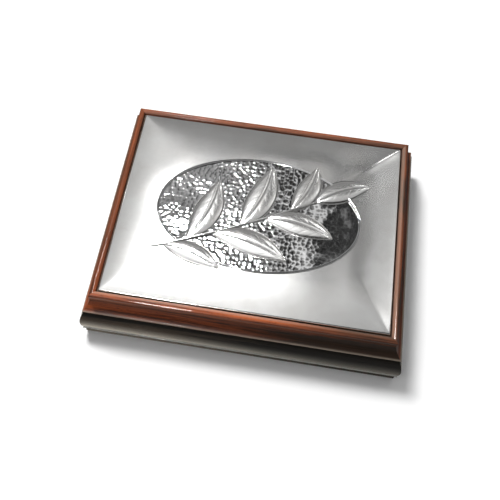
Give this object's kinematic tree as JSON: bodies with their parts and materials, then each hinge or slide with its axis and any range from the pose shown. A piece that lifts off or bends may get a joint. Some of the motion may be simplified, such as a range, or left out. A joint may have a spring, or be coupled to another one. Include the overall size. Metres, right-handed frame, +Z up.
{
  "type": "stamp box",
  "caption": "Low hinged wooden box with moulded, mitred walls, velvet-lined compartments for stamps and a domed silver plaque with a leaf spray let into its lid.",
  "frame": {"origin": "centre of the flat resting face, under the felt", "axes": "+X along the front of the box, to the right; +Y from the front to the hinged back; +Z up"},
  "size_m": [0.154, 0.1236, 0.036],
  "materials": {
    "lacquered_mahogany": "reddish mahogany under a high gloss lacquer",
    "board": "stained board, satin",
    "silver": "satin silver with polished, hammered ground",
    "core_resin": "moulded filler, hidden",
    "brass": "polished, lightly tarnished",
    "velvet": "short velvet pile",
    "felt": "pressed felt"
  },
  "bodies": {
    "base": {"base_rail_front": "lacquered_mahogany", "base_rail_back": "lacquered_mahogany", "base_rail_left": "lacquered_mahogany", "base_rail_right": "lacquered_mahogany", "bottom_board": "board", "base_felt": "felt", "floor_lining": "velvet", "wall_lining_front": "velvet", "wall_lining_back": "velvet", "wall_lining_left": "velvet", "wall_lining_right": "velvet", "divider_left": "lacquered_mahogany", "divider_right": "lacquered_mahogany", "hinge_left_base_leaf": "brass", "hinge_right_base_leaf": "brass", "hinge_left_pin": "brass", "hinge_right_pin": "brass", "base_hinge_screws": "brass"},
    "lid": {"lid_rail_front": "lacquered_mahogany", "lid_rail_back": "lacquered_mahogany", "lid_rail_left": "lacquered_mahogany", "lid_rail_right": "lacquered_mahogany", "lid_panel": "board", "lid_lining": "velvet", "plaque_core": "core_resin", "silver_plaque": "silver", "hinge_left_lid_leaf": "brass", "hinge_right_lid_leaf": "brass", "lid_hinge_screws": "brass"}
  },
  "joints": [
    {"name": "lid_hinge", "type": "hinge", "parent": "base", "child": "lid", "pos_m": [0, 0.0605, 0.0212], "axis": [-1, 0, 0], "range_deg": [0, 95]}
  ]
}
